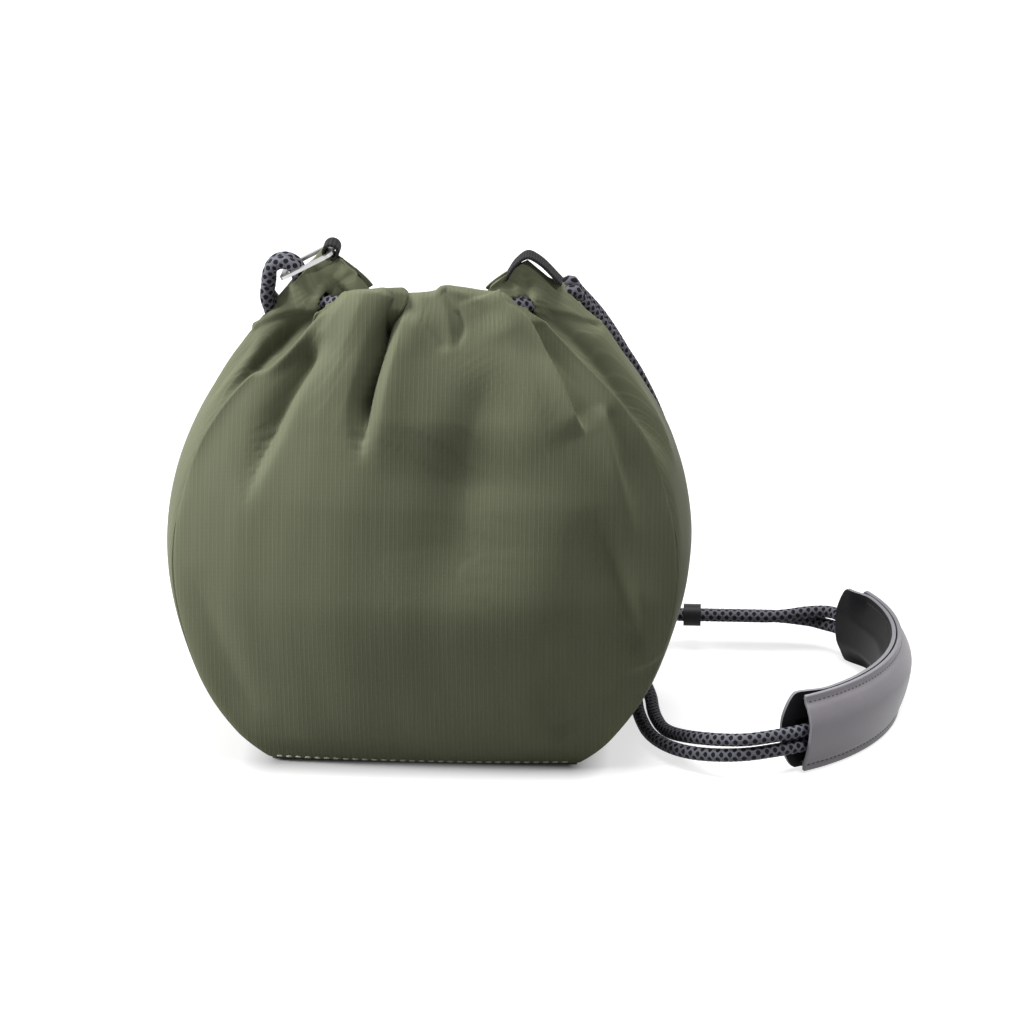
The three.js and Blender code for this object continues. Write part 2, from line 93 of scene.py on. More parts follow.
def wall_at(side, s, v, depth=0):
    """A point of the front (-1) or back (1): s from seam to seam, v from base to hem, depth inwards."""
    seam = smooth_line(seam_line, v)
    swell = smooth_line(panel_swell, v)
    crown = 1 - np.abs(s) ** 2.3
    drop = back_hem_drop * ease((v - 0.66) / 0.34) * crown if side > 0 else 0
    x = (seam[..., 0] - depth) * s
    y = side * (-seam[..., 1] - depth + swell[..., 0] * crown)
    return np.stack([x, y, seam[..., 2] + swell[..., 1] * crown - drop + foot(seam[..., 2])], -1)


def flank_at(way, t, v, tip, depth=0):
    """A point of the left (-1) or right (1) side: t from front to back, v from base to the ear's tip."""
    seam = smooth_line(seam_line, v)
    swell = smooth_line(side_swell, v)
    lap = 2.2 * ease((v - 0.6) / 0.25)
    top = ease((v - 0.83) / 0.17)
    x = mix(seam[..., 0] - depth, ear_inner[0], top)
    y = mix(-seam[..., 1] - depth - lap, ear_inner[1] - 0.6 * depth, top)
    z = mix(seam[..., 2] + foot(seam[..., 2]), ear_inner[2], top)
    out = mix(swell[..., 0], tip[0] - ear_inner[0] - 0.3 * depth, top) + 18 * top * (1 - top)
    rise = mix(swell[..., 1], tip[1] - ear_inner[2] - depth, top)
    rise = rise - 0.8 * depth * ease((v - 0.57) / 0.26) * (1 - top)
    crown = 1 - np.abs(t) ** mix(2.2, 1.25, ease((v - 0.57) / 0.35))
    return np.stack([way * (x + out * crown), y * t, z + rise * crown ** mix(1, 0.75, top)], -1)


# Route of the rope
# One braided rope of 5.8 mm does both jobs: it is the drawcord in the front and back hems, and its two
# strands go on from the ears as the strap. The route gives their middle and the way to the front strand.
pad_middle = (114, 31)
pad_radius = 90
strand_offset = 3.35
bight = (-61.35, 204.49)
bight_radius = 6.4
hem_depth, hem_lift = 0.6, 2.4
rope_step = 1.05
strap = [
    ((63, 11, 195), (0, -1, 0)), ((72, 19, 182), (0, -1, 0)), ((86, 30, 157), (0.3, -1, 0)),
    ((97, 39, 130), (0.4, -1, 0)), ((103, 47, 106), (0.4, -1, 0)), ((105.5, 54, 84), (0.4, -1, 0)),
    ((104, 61, 64), (0.2, -1, -0.3)), ((101.5, 71, 47), (0, -1, -0.5)), ((96.5, 81, 34), (0.1, -1, -0.5)),
    ((95.5, 90, 23), (0.5, -0.9, -0.2)), ((100, 96, 16.2), (0.3, -0.95, 0.2)),
    ((108, 97.5, 14.4), (0, -0.95, 0.31)), ((118, 97.5, 14.4), (0, -0.95, 0.31)),
    ((128, 97.5, 14.4), (0, -0.95, 0.31)), ((138, 97.5, 14.4), (0, -0.95, 0.31)),
    ((148, 97.5, 14.4), (0, -0.95, 0.31)), ((158, 97.8, 14.5), (-0.1, -0.85, 0.5)),
    ((168.5, 97.4, 14.8), (-0.2, -0.5, 0.8)),
]


def round_pad(r, a, z):
    """A point at radius r and angle a round the middle of the pad's arc."""
    return np.stack([pad_middle[0] + r * np.cos(a), pad_middle[1] + r * np.sin(a), z], -1)


for turn in (44, 40, 30, 20, 10, 0, -10, -20, -30, -40, -50, -58, -66):
    strap.append((tuple(round_pad(pad_radius, math.radians(turn), 15)), (0, 0, 1)))
strap += [
    ((138, -54.8, 14.4), (0, 0, 1)), ((124, -50, 12), (0.1, 0.2, 0.95)), ((111, -39, 8.8), (0.5, 0.4, 0.75)),
    ((100.5, -19, 4.8), (0.95, 0.3, 0.3)), ((95, 4, 3.5), (1, 0.1, 0)), ((92, 30, 3.5), (1, 0.1, 0)),
    ((84, 56, 3.5), (0.9, 0.5, 0)), ((62, 76, 3.5), (0.5, 0.9, 0)), ((30, 84, 3.5), (0, 1, 0)),
    ((0, 85, 3.5), (0, 1, 0)), ((-30, 83, 3.8), (0, 1, 0)), ((-54, 77, 8), (-0.2, 1, 0.2)),
    ((-70, 68, 24), (-0.4, 0.9, 0.3)), ((-78, 62, 52), (-0.8, 0.6, 0)), ((-81, 58, 86), (-1, 0.2, 0)),
    ((-82, 48, 122), (-1, 0, 0)), ((-77, 34, 156), (-0.9, -0.4, 0)), ((-67, 18, 180), (-0.5, -0.9, 0)),
    ((bight[0] - bight_radius, 7, bight[1] - 15.8), (-0.1, -1, 0)),
    ((bight[0] - bight_radius - 1, 0.9, bight[1] - 8.8), (0, -1, 0)),
    ((bight[0] - bight_radius - 0.2, 0, bight[1] - 2.8), (0, -1, 0)),
]


def unit(v):
    return v / np.maximum(np.linalg.norm(v, axis=-1), 1e-9)[..., None]


def strand_points(sign):
    """The middle of the front (1) or back (-1) strand."""
    places = [p for p, _ in strap]
    t = np.linspace(0, 1, 3 * (len(strap) - 1) + 1)
    way = unit(smooth_line(places, np.minimum(t + 1e-4, 1)) - smooth_line(places, np.maximum(t - 1e-4, 0)))
    aside = smooth_line([d for _, d in strap], t)
    aside = unit(aside - way * np.sum(aside * way, axis=1)[:, None])
    return smooth_line(places, t) + sign * strand_offset * aside


def hem_sway(x):
    """How far the front hem is pushed in and drawn down along its length."""
    notch = np.exp(-(((x + 10.5) / 5.6) ** 2))
    dip = ease((x + 12) / 4) * ease((11 - x) / 11)
    return 6.0 * notch, -1.4 * ease((34 - np.abs(x)) / 14) - 2.6 * dip - 2.0 * notch


def drawcord_points(side):
    """The rope in the front (-1) or back (1) hem, from the bight at the left ear to the right ear."""
    strand = strand_points(-side)
    count = 9 if side > 0 else 27
    hem = wall_at(side, np.linspace(-0.68, 0.68, count), np.ones(count), hem_depth) + (0, 0, hem_lift)
    if side < 0:
        hem += np.stack([0 * hem[:, 0], *hem_sway(hem[:, 0])], 1)
    end = hem[-1]
    ear_z = ear_inner[2] - 3.5
    leaving = [(6, side * (abs(end[1]) - 1.3), mix(end[2], ear_z, 0.4)),
               (12, side * 6, mix(end[2], ear_z, 0.75))]
    bend = [(bight[0] + bight_radius * math.cos(a), side * strand_offset, bight[1] + bight_radius * math.sin(a))
            for a in np.radians([175, 148, 120, 90, 60, 30, 0])]
    x, y, z = bend[-1]
    return np.array([
        strand[-1], *bend, (x + 1.2, y, z - 4), (x + 5.5, y + side * 0.6, ear_z + 1),
        *[(-end[0] - past, y, z) for past, y, z in leaving[::-1]], *hem,
        *[(end[0] + past, y, z) for past, y, z in leaving],
        (52, 0, ear_z) if side < 0 else (52, 11.5, ear_z - 2),
        strand[0] + unit(strand[0] - strand[1]) * 5, strand[0],
    ])


def run_along(line):
    """The distance along a line from its start to each of its points."""
    return np.r_[0, np.cumsum(np.linalg.norm(np.diff(line, axis=0), axis=1))]


def points_at(line, run, at):
    return np.stack([np.interp(at, run, line[:, k]) for k in range(3)], -1)


def even_steps(points, step):
    fine = smooth_line(points, np.linspace(0, 1, 60 * len(points)))
    run = run_along(fine)
    return points_at(fine, run, np.linspace(0, run[-1], int(run[-1] / step) + 1))


rope_lines = {
    "strap_strand_front": even_steps(strand_points(1), rope_step),
    "strap_strand_back": even_steps(strand_points(-1), rope_step),
    "hem_cord_front": even_steps(drawcord_points(-1), rope_step),
    "hem_cord_back": even_steps(drawcord_points(1), rope_step),
}


# Olive ripstop cloth
# Thin nylon with a fine weave and a stronger thread every few millimetres, which shows as faint upright
# lines. The map of each piece is in metres of cloth, so the lines keep their spacing.
def add(tree, kind, inputs=None, **settings):
    """A shader node. Each input gets a plain value, or a link where a socket is given."""
    node = tree.nodes.new(kind)
    for key, value in settings.items():
        setattr(node, key, value)
    for key, value in (inputs or {}).items():
        if isinstance(value, bpy.types.NodeSocket):
            tree.links.new(value, node.inputs[key])
        else:
            node.inputs[key].default_value = value
    return node


def reckon(tree, operation, *terms):
    """The result of a Math node on plain numbers and sockets."""
    return add(tree, "ShaderNodeMath", dict(enumerate(terms)), operation=operation).outputs[0]


def finish(name, plain):
    """A material with plain values on its shader: itself, its node tree and the shader."""
    material = bpy.data.materials.new(name)
    material.use_nodes = True
    skin = material.node_tree.nodes["Principled BSDF"]
    for socket, value in plain.items():
        skin.inputs[socket].default_value = value
    return material, material.node_tree, skin


def own_place(tree):
    return add(tree, "ShaderNodeTexCoord").outputs["Object"]


def noise(tree, place, scale, detail=2):
    return add(tree, "ShaderNodeTexNoise", {"Vector": place, "Scale": scale, "Detail": detail}).outputs["Fac"]


def two_tones(tree, skin, share, low, high):
    """Colour between two tones, by a share that changes over the surface."""
    tint = add(tree, "ShaderNodeMix", {"Factor": share, "A": (*low, 1), "B": (*high, 1)}, data_type="RGBA")
    tree.links.new(tint.outputs["Result"], skin.inputs["Base Color"])


def relief(tree, skin, height, strength, distance):
    bump = add(tree, "ShaderNodeBump", {"Height": height, "Strength": strength, "Distance": distance})
    tree.links.new(bump.outputs["Normal"], skin.inputs["Normal"])


weave = bpy.data.node_groups.new("ripstop_weave", "ShaderNodeTree")
for label, in_out, kind in (("Cloth Place", "INPUT", "Vector"), ("Line Pitch", "INPUT", "Float"),
                            ("Lines", "OUTPUT", "Float"), ("Streaks", "OUTPUT", "Float"),
                            ("Height", "OUTPUT", "Float")):
    weave.interface.new_socket(label, in_out=in_out, socket_type="NodeSocket" + kind)
enter = add(weave, "NodeGroupInput")
split = add(weave, "ShaderNodeSeparateXYZ", {0: enter.outputs["Cloth Place"]})
strengths = []
for axis, width, strength in (("X", 0.2, 1.0), ("Y", 0.16, 0.35)):
    part = reckon(weave, "DIVIDE", split.outputs[axis], enter.outputs["Line Pitch"])
    near = add(weave, "ShaderNodeMapRange", {"Value": reckon(weave, "PINGPONG", part, 0.5), "From Min": width,
                                             "From Max": 0.0, "To Min": 0.0, "To Max": strength},
               interpolation_type="SMOOTHSTEP")
    strengths.append(near.outputs[0])
lines = reckon(weave, "MAXIMUM", *strengths)
stretch = add(weave, "ShaderNodeMapping", {"Vector": enter.outputs["Cloth Place"], "Scale": (900, 22, 1)})
streaks = noise(weave, stretch.outputs[0], 1, 3)
add(weave, "NodeGroupOutput", {"Lines": lines, "Streaks": streaks,
                               "Height": reckon(weave, "MULTIPLY_ADD", streaks, 0.6, lines)})


def woven_cloth(name, low, high, pitch, rough, sheen):
    cloth, tree, skin = finish(name, {"Roughness": rough, "Specular IOR Level": 0.1, "Sheen Weight": sheen,
                                      "Sheen Roughness": 0.5})
    place = add(tree, "ShaderNodeUVMap").outputs[0]
    yarns = add(tree, "ShaderNodeGroup", {"Cloth Place": place, "Line Pitch": pitch}, node_tree=weave).outputs
    patches = noise(tree, own_place(tree), 14, 4)
    tone = reckon(tree, "MULTIPLY_ADD", yarns["Streaks"], 0.55, reckon(tree, "MULTIPLY", patches, 0.35))
    two_tones(tree, skin, reckon(tree, "MULTIPLY_ADD", yarns["Lines"], 0.3, tone), low, high)
    relief(tree, skin, yarns["Height"], 0.35, 0.00012)
    return cloth


olive = woven_cloth("olive_ripstop", (0.094, 0.101, 0.06), (0.148, 0.158, 0.099), 0.0019, 0.62, 0.03)

# Front panel
# One piece of cloth from the base seam to the hem, which is turned over the drawcord and sewn down inside.
# The drawn cord gathers it: one deep pleat left of the middle, a lap at the right, slack folds between.
hem_from = 0.86  # share of the cut panel's length that lies below the hem
panel_columns, panel_rows = 216, 196
cloth_thickness = 1.0


def cloth_grid(name, columns, rows, shape):
    """A grid of faces, and the places where its points go; shape takes -1 to 1 across and 0 to 1 up."""
    bpy.ops.mesh.primitive_grid_add(x_subdivisions=columns, y_subdivisions=rows, size=2, location=(0, 0, 0))
    piece = bpy.context.object
    piece.name = name
    flat = np.empty(len(piece.data.vertices) * 3)
    piece.data.vertices.foreach_get("co", flat)
    flat = flat.reshape(rows + 1, columns + 1, 3)
    return piece, shape(flat[..., 0], (flat[..., 1] + 1) / 2)


def grid_shares(points):
    """The share of each row from bottom to top, and of each column from -1 to 1."""
    return np.linspace(0, 1, points.shape[0])[:, None], np.linspace(-1, 1, points.shape[1])[None, :]


def grid_normals(points):
    return unit(np.cross(np.gradient(points, axis=1), np.gradient(points, axis=0)))


def between(grid, row, column):
    """Values of a grid at places between its points."""
    j, i = row.astype(int), column.astype(int)
    fj, fi = (row - j)[..., None], (column - i)[..., None]
    return mix(mix(grid[j, i], grid[j, i + 1], fi), mix(grid[j + 1, i], grid[j + 1, i + 1], fi), fj)


def fold(points, normals, line, left, right, reach_left, reach_right, edge, ends):
    """Lift of the cloth beside a line on it: each side of the line has its own height and reach."""
    rows, columns = points.shape[:2]
    path = smooth_line(line, np.linspace(0, 1, 70))
    way = between(points, np.clip(path[:, 1] * (rows - 1), 0, rows - 1.001),
                  np.clip((path[:, 0] + 1) / 2 * (columns - 1), 0, columns - 1.001))
    along = unit(np.gradient(way, axis=0))
    flat = points.reshape(-1, 3)
    best = np.full(len(flat), 1e9)
    nearest = np.zeros(len(flat), int)
    for k, p in enumerate(way):
        d = np.sum((flat - p) ** 2, axis=1)
        closer = d < best
        best[closer] = d[closer]
        nearest[closer] = k
    aside = np.sum((flat - way[nearest]) * np.cross(normals.reshape(-1, 3), along[nearest]), axis=1)
    d = np.sqrt(best)
    t = nearest / (len(way) - 1)
    share = 1 / (1 + np.exp(-np.clip(aside / edge * 3, -40, 40)))
    near_left, near_right = (np.exp(-((d / reach) ** 1.6)) for reach in (reach_left, reach_right))
    height = (1 - share) * left * near_left + share * right * near_right
    return (height * ease(t / ends[0]) * ease((1 - t) / ends[1])).reshape(rows, columns)


def ripple(points, seed, size):
    """Slack of the cloth: a few slow waves, mostly upright."""
    rng = np.random.default_rng(seed)
    total = np.zeros(points.shape[:2])
    for _ in range(10):
        k = rng.normal(size=3) * (0.11, 0.11, 0.045)
        total += np.sin(points @ k + rng.uniform(0, 6.28)) * rng.uniform(0.4, 1)
    return total * size / 10


def cloth_spread(points, across):
    """Cloth coordinates: the given direction across, and the run up each column."""
    step = np.linalg.norm(np.diff(points, axis=0), axis=-1)
    run = np.vstack([np.zeros(points.shape[1]), np.cumsum(step, axis=0)])
    return np.stack([points[..., across], run], -1)


def thicken(piece, thickness, rim_material=0):
    wall = piece.modifiers.new("thickness", "SOLIDIFY")
    wall.thickness = thickness / 1000
    wall.offset = -1
    wall.material_offset_rim = rim_material
    bpy.ops.object.modifier_apply(modifier="thickness")


def settle(piece, points, cloth, thickness, spread, holes=None):
    """Puts the shaped points into the mesh in metres, maps the cloth, cuts its holes and thickens it."""
    mesh = piece.data
    mesh.vertices.foreach_set("co", (points / 1000).reshape(-1))
    loops = np.empty(len(mesh.loops), int)
    mesh.loops.foreach_get("vertex_index", loops)
    mesh.uv_layers.active.data.foreach_set("uv", (spread / 1000).reshape(-1, 2)[loops].reshape(-1))
    mesh.materials.append(cloth)
    if holes is not None:
        for parts in (mesh.polygons, mesh.edges):
            parts.foreach_set("select", np.zeros(len(parts), bool))
        mesh.vertices.foreach_set("select", holes.reshape(-1))
        bpy.ops.object.mode_set(mode="EDIT")
        bpy.ops.mesh.select_mode(type="VERT")
        bpy.ops.mesh.delete(type="VERT")
        bpy.ops.object.mode_set(mode="OBJECT")
    thicken(piece, thickness)
    bpy.ops.object.shade_smooth()


def up(v):
    """Share of the cut panel's length at share v of the wall's height; past 1 it goes on round the hem."""
    return v * hem_from if v <= 1 else hem_from + (v - 1) * (1 - hem_from)


def panel_shape(side):
    """The front (-1) or back (1) panel: up the wall, over the drawcord and down inside."""
    lean, end = (0.78 * np.pi, 0) if side < 0 else (0.22 * np.pi, np.pi)

    def shape(s, r):
        v = np.minimum(r / hem_from, 1)
        top = np.ones_like(v)
        s = -side * s * (1 - 0.4 / smooth_line(seam_line, v)[..., 0])
        hem = wall_at(side, s, top, hem_depth)
        inward, down = hem_sway(hem[..., 0]) if side < 0 else (0 * s, 0 * s)
        middle = hem + np.stack([0 * s, inward, hem_lift + down], -1)
        roll = mix(4.7, 1.6, ease((np.abs(s) - 0.74) / 0.2))

        def round_cord(turn, inside=0):
            return middle + np.stack([0 * s, roll * np.cos(turn), roll * np.sin(turn) - inside], -1)

        join = ease((v - 0.84) / 0.16)[..., None]
        wall = wall_at(side, s, v) + join * (round_cord(lean) - wall_at(side, s, top))
        a = np.clip((r - hem_from) / (1 - hem_from), 0, 1)
        arc = round_cord(mix(lean, end, np.minimum(a / 0.7, 1)), np.clip((a - 0.7) / 0.3, 0, 1) * 9)
        return np.where((r > hem_from)[..., None], arc, wall)

    return shape


# A fold has its line, then the height and the reach left and right of it, its edge and how its ends fade.
front_folds = [
    ([(-0.22, 1.75), (-0.225, 1.4), (-0.24, 1.0), (-0.275, 0.963), (-0.3, 0.9), (-0.31, 0.83), (-0.305, 0.76),
      (-0.29, 0.71), (-0.27, 0.64)], -13, -13, 3.6, 2.2, 0.8, (0.02, 0.25)),
    ([(-0.34, 1.2), (-0.37, 0.963), (-0.41, 0.9), (-0.42, 0.83), (-0.4, 0.76), (-0.36, 0.68)],
     1.8, 1.8, 5, 3.4, 1.5, (0.1, 0.4)),
    ([(-0.6, 1.1), (-0.6, 1.0), (-0.56, 0.9), (-0.52, 0.79), (-0.48, 0.68)], 3.4, 3.4, 9, 8, 1.5, (0.2, 0.5)),
    ([(-0.12, 1.0), (-0.17, 0.9), (-0.2, 0.8), (-0.2, 0.7), (-0.19, 0.62)], 3.4, 3.4, 4, 10, 1.5, (0.2, 0.5)),
    ([(-0.78, 0.91), (-0.77, 0.881), (-0.76, 0.844), (-0.74, 0.763), (-0.72, 0.675), (-0.73, 0.54)],
     -8.5, -8.5, 7, 3.4, 1.0, (0.5, 0.3)),
    ([(-0.18, 1.4), (-0.19, 1.0), (-0.05, 0.944), (0.1, 0.888), (0.17, 0.855)],
     -1.5, -1.5, 3, 5, 1.5, (0.1, 0.2)),
    ([(0.11, 1.25), (0.18, 0.96), (0.19, 0.91), (0.18, 0.865)], 1.0, 1.0, 3.2, 3.2, 1.5, (0.1, 0.2)),
    ([(0.17, 1.15), (0.26, 0.969), (0.29, 0.925), (0.2, 0.858)], -1.3, -1.3, 2.6, 1.6, 1.0, (0.1, 0.2)),
    ([(0.1, 1.35), (0.25, 1.08), (0.4, 1.0), (0.61, 0.975)], 1.0, 1.0, 2.2, 3, 1.5, (0.1, 0.3)),
    ([(0.5, 0.86), (0.3, 0.744), (0.21, 0.669), (0.19, 0.594), (0.2, 0.5), (0.21, 0.4)],
     -4.0, -4.0, 12, 22, 3, (0.2, 0.5)),
    ([(0.16, 0.72), (0.12, 0.6), (0.12, 0.5), (0.14, 0.36)], -5.0, -5.0, 32, 42, 3, (0.3, 0.4)),
    ([(0.58, 0.97), (0.6, 0.86), (0.58, 0.74), (0.56, 0.64)], 3.0, 3.0, 12, 10, 1.5, (0.2, 0.5)),
    ([(0.72, 1.2), (0.75, 1.0), (0.85, 0.944), (0.83, 0.875), (0.79, 0.8), (0.76, 0.738), (0.765, 0.69)],
     3.4, -4.4, 10, 7, 0.5, (0.05, 0.14)),
    ([(0.95, 0.756), (0.88, 0.69), (0.85, 0.62), (0.85, 0.513)], 2.2, -3.6, 7, 8, 2.0, (0.2, 0.4)),
    ([(0.93, 0.42), (0.86, 0.33), (0.82, 0.2)], -1.6, -1.6, 8, 8, 1.5, (0.3, 0.3)),
    ([(0.66, 0.58), (0.74, 0.47), (0.83, 0.38), (0.9, 0.32)], -4.5, -4.5, 13, 6, 2, (0.4, 0.3)),
    ([(0.76, 0.5), (0.85, 0.41), (0.92, 0.35), (0.97, 0.32)], 4, 4, 7, 9, 2, (0.4, 0.1)),
    ([(0.5, 0.42), (0.51, 0.3), (0.6, 0.2), (0.72, 0.13)], 1.6, -2.4, 16, 12, 4, (0.3, 0.3)),
    ([(-0.93, 0.46), (-0.84, 0.34), (-0.8, 0.18)], -1.4, -1.4, 8, 8, 1.5, (0.3, 0.3)),
]
piece, points = cloth_grid("front_cloth", panel_columns, panel_rows, panel_shape(-1))
normals = grid_normals(points)
rows, columns = grid_shares(points)
half_width = smooth_line(seam_line, np.minimum(rows[:, 0] / hem_from, 1))[:, 0][:, None]
seam_run = half_width * (1 - np.abs(columns))


def seam_pull(seam_run, rows):
    """The seam draws the cloth in beside it, except in the gathered part."""
    return 0.7 * np.exp(-seam_run / 1.6) * (1 - ease((rows - 0.5) / 0.12))


def gathered(points, normals, folds, seed, size, held_from, held_over):
    """Lift of a panel's points: its slack and folds, held at the base, the seams and the hem."""
    lift = ripple(points, seed, size)
    for line, *form in folds:
        lift += fold(points, normals, [(s, up(v)) for s, v in line], *form)
    lift = lift * ease(rows / 0.06) * mix(0.25, 1, ease(seam_run / 9))
    lift = lift * mix(1, 0.3, ease((rows - 0.955) / 0.03))
    lift = np.maximum(lift, mix(-20, -0.25, ease((rows - held_from) / held_over)))
    return lift - seam_pull(seam_run, rows)


lift = gathered(points, normals, front_folds, 3, 1.6, 0.755, 0.07)
rolled = ease((rows - 0.68) / 0.05) * ease((0.845 - rows) / 0.03) * (columns < 0)
lift += rolled * (1.5 * np.exp(-(((seam_run - 5) / 3) ** 2)) - 7 * np.exp(-((seam_run / 2.2) ** 2)))
slack = {"front": lift}
lip = np.exp(-seam_run / 2.5) * ease((rows - 0.48) / 0.1) * ease((0.86 - rows) / 0.04)
pleat = smooth_line([(s, up(v)) for s, v in front_folds[0][0]], np.linspace(0, 1, 70))[::-1]
beside = (columns - np.interp(rows, pleat[:, 1], pleat[:, 0])) * half_width
tuck = np.where(beside < 0, np.exp(-((beside / 7) ** 2)), np.exp(-((beside / 1.1) ** 2)))
tuck = 4.0 * tuck * ease((rows - 0.58) / 0.14) * ease((0.99 - rows) / 0.04)
tuck = tuck * mix(1, 0.3, ease((rows - 0.84) / 0.05))
points = points + normals * (lift + 1.2 * lip)[..., None]
points[..., 0] += columns * 1.6 * lip + tuck
walls = {-1: points}
settle(piece, points, olive, cloth_thickness, cloth_spread(points, 0))
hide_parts("front_panel")
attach(piece, "pouch")

# Back panel
# The same cut as the front in the same cloth, turned over its own drawcord and gathered into softer and
# more even folds.
back_folds = [
    ([(-0.5, 1.3), (-0.47, 1.0), (-0.45, 0.88), (-0.47, 0.74), (-0.5, 0.64)], -5, -5, 5, 6, 1.5, (0.02, 0.5)),
    ([(-0.16, 1.3), (-0.14, 1.0), (-0.13, 0.9), (-0.12, 0.8), (-0.13, 0.72)], -4, -4, 4, 4, 1.5, (0.02, 0.5)),
    ([(0.2, 1.4), (0.2, 1.0), (0.22, 0.88), (0.24, 0.76), (0.25, 0.66)], -6, -6, 4, 7, 1.5, (0.02, 0.5)),
    ([(0.56, 1.3), (0.54, 1.0), (0.56, 0.86), (0.6, 0.72)], -4, -4, 5, 5, 1.5, (0.02, 0.5)),
    ([(-0.32, 1.2), (-0.3, 0.95), (-0.29, 0.8)], 2, 2, 7, 7, 1.5, (0.1, 0.5)),
    ([(0.04, 1.2), (0.04, 0.95), (0.05, 0.8)], 2, 2, 7, 7, 1.5, (0.1, 0.5)),
    ([(0.39, 1.2), (0.39, 0.95), (0.42, 0.8)], 2, 2, 7, 7, 1.5, (0.1, 0.5)),
    ([(-0.8, 0.95), (-0.74, 0.84), (-0.73, 0.72), (-0.77, 0.58)], -4, -4, 8, 5, 1.5, (0.15, 0.4)),
    ([(0.82, 0.95), (0.77, 0.84), (0.76, 0.72), (0.79, 0.58)], -4, -4, 5, 8, 1.5, (0.15, 0.4)),
]
piece, points = cloth_grid("back_cloth", panel_columns, panel_rows, panel_shape(1))
normals = grid_normals(points)
slack["back"] = gathered(points, normals, back_folds, 8, 2.0, 0.7, 0.125)
points = points + normals * slack["back"][..., None]
walls[1] = points
settle(piece, points, olive, cloth_thickness, cloth_spread(points, 0))
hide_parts("back_panel")
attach(piece, "pouch")

# Side gussets with the ears
# Each side is a narrow panel of the same cloth whose top stands up as an ear. Its edges are sewn under front
# and back, the rope goes in through two eyelets, and the cloth is creased where the ear bends over.
left_creases = [
    ([(0.3, 0.81), (0, 0.825), (-0.48, 0.875), (-0.72, 0.908), (-0.8, 0.935)],
     -0.9, 1.2, 5, 6, 0.8, (0.3, 0.1)),
    ([(-0.9, 0.95), (-0.91, 0.9), (-0.92, 0.84), (-0.93, 0.78), (-0.95, 0.7)], -11, -11, 6, 7, 1.5, (0.1, 0.4)),
    ([(-0.55, 0.86), (-0.62, 0.8), (-0.68, 0.74), (-0.72, 0.66)], 2.0, 2.0, 5, 6, 1.5, (0.2, 0.4)),
    ([(-0.73, 1.0), (-0.68, 0.954), (-0.63, 0.929)], -1.4, -1.4, 2.5, 3, 1.5, (0.1, 0.3)),
    ([(-0.4, 0.995), (-0.52, 0.958), (-0.43, 0.917), (-0.3, 0.89)], -1.2, -1.2, 3, 3, 1.5, (0.1, 0.3)),
    ([(-0.35, 0.83), (-0.42, 0.76), (-0.5, 0.68)], -1.6, -1.6, 4, 4, 1.5, (0.3, 0.4)),
]
right_creases = [
    ([(-0.85, 0.93), (-0.67, 0.904), (-0.47, 0.883), (-0.13, 0.846), (0.4, 0.83)],
     -0.8, 1.0, 5, 6, 0.8, (0.1, 0.3)),
    ([(-0.2, 0.87), (-0.37, 0.775), (-0.45, 0.675), (-0.45, 0.58)], 2.4, 2.4, 5, 5, 1.5, (0.15, 0.4)),
    ([(-0.93, 0.93), (-0.86, 0.89), (-0.84, 0.829), (-0.82, 0.725), (-0.7, 0.6)],
     -5, -5, 5, 5, 1.5, (0.1, 0.3)),
    ([(-0.9, 0.985), (-0.75, 0.96), (-0.6, 0.945)], -1.4, -1.4, 2.5, 3, 1.5, (0.1, 0.3)),
    ([(-0.3, 0.97), (-0.5, 0.94), (-0.6, 0.915)], -1.0, -1.0, 3, 3, 1.5, (0.2, 0.3)),
]
sewn_under = 1.6
rope_cover = 4.1
eyelet_radius = 3.2


def gusset_shape(way, tip):
    def shape(t, v):
        return flank_at(way, way * t * (1 - 0.4 / -smooth_line(seam_line, v)[..., 1]), v, tip)
    return shape


